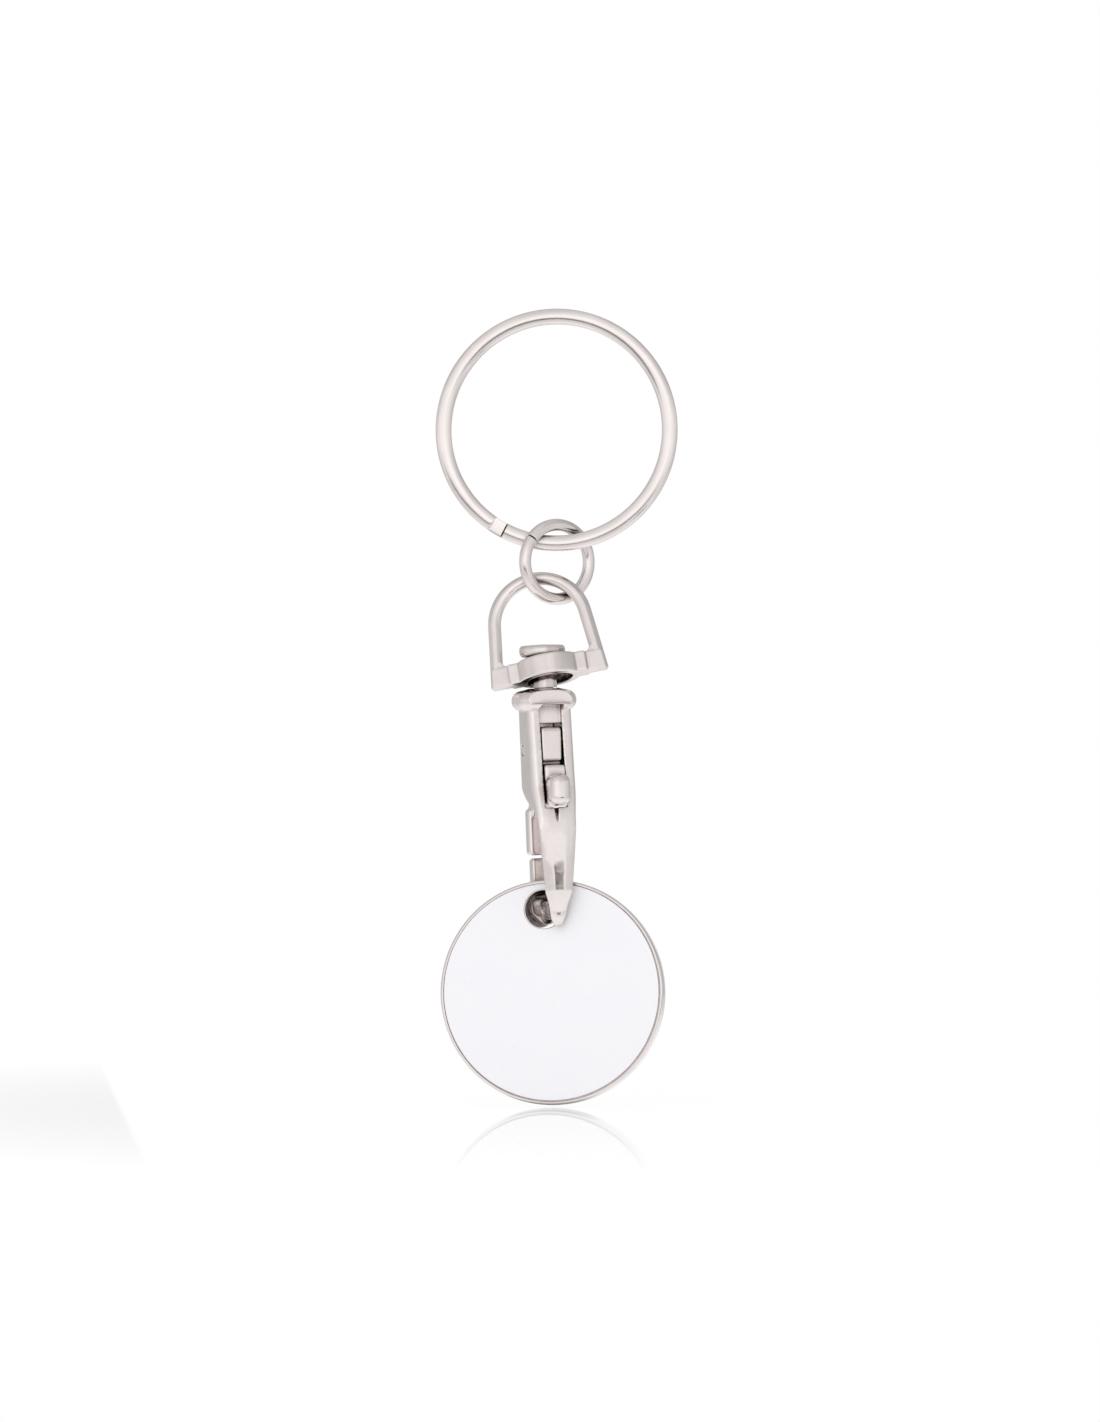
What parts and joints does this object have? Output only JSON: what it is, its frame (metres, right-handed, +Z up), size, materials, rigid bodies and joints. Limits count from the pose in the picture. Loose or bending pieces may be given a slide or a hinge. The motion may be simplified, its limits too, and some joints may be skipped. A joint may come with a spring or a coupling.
{
  "type": "coin holder keyring",
  "caption": "Split ring and jump ring carrying a swivel trigger hook, from which a round rimmed token with a white inlay hangs by its edge hole.",
  "frame": {"origin": "inner top of the split ring, where whatever holds the keyring up touches it; everything hangs down from there", "axes": "+Z up against gravity, along the hanging length; +Y from the token's pictured face to its back, across the flat split ring; +X to the right as pictured"},
  "size_m": [0.0252, 0.0097, 0.0824],
  "materials": {
    "nickel_plate": "bright nickel plate over a die casting, warm grey, slightly uneven",
    "spring_steel": "bright nickel-plated spring steel",
    "white_enamel": "white epoxy enamel with a faint fine speckle, satin gloss"
  },
  "bodies": {
    "split_ring": {"split_ring": "spring_steel"},
    "jump_ring": {"jump_ring": "nickel_plate"},
    "swivel_loop": {"swivel_loop": "nickel_plate"},
    "hook": {"hook_body": "nickel_plate", "swivel_stud": "nickel_plate", "pivot_pin": "spring_steel", "gate_spring": "spring_steel"},
    "trigger": {"trigger_gate": "nickel_plate"},
    "token": {"token": "nickel_plate", "token_inlay_front": "white_enamel", "token_inlay_back": "white_enamel"}
  },
  "joints": [
    {"name": "jump_ring_swing", "type": "hinge", "parent": "split_ring", "child": "jump_ring", "pos_m": [0, 0, -0.02271], "axis": [1, 0, 0], "range_deg": [-16, 16]},
    {"name": "swivel_loop_swing", "type": "hinge", "parent": "jump_ring", "child": "swivel_loop", "pos_m": [0.00005, 0, -0.02848], "axis": [0.8192, 0.5736, 0], "range_deg": [-30, 20]},
    {"name": "hook_swivel", "type": "hinge", "parent": "swivel_loop", "child": "hook", "pos_m": [-0.0012, -0.00187, -0.03775], "axis": [-0.0384, 0, 0.9993], "continuous": true},
    {"name": "trigger_press", "type": "hinge", "parent": "hook", "child": "trigger", "pos_m": [-0.0012, -0.00122, -0.0441], "axis": [-0.9329, -0.3584, -0.0358], "range_deg": [0, 20], "stiffness_Nm_per_rad": 0.01, "springref_deg": -22.92, "deforming": ["gate_spring"]},
    {"name": "token_swing", "type": "hinge", "parent": "hook", "child": "token", "pos_m": [-0.00107, -0.00167, -0.06064], "axis": [0.0782, 0.9938, -0.0785], "range_deg": [-45, 45]}
  ]
}
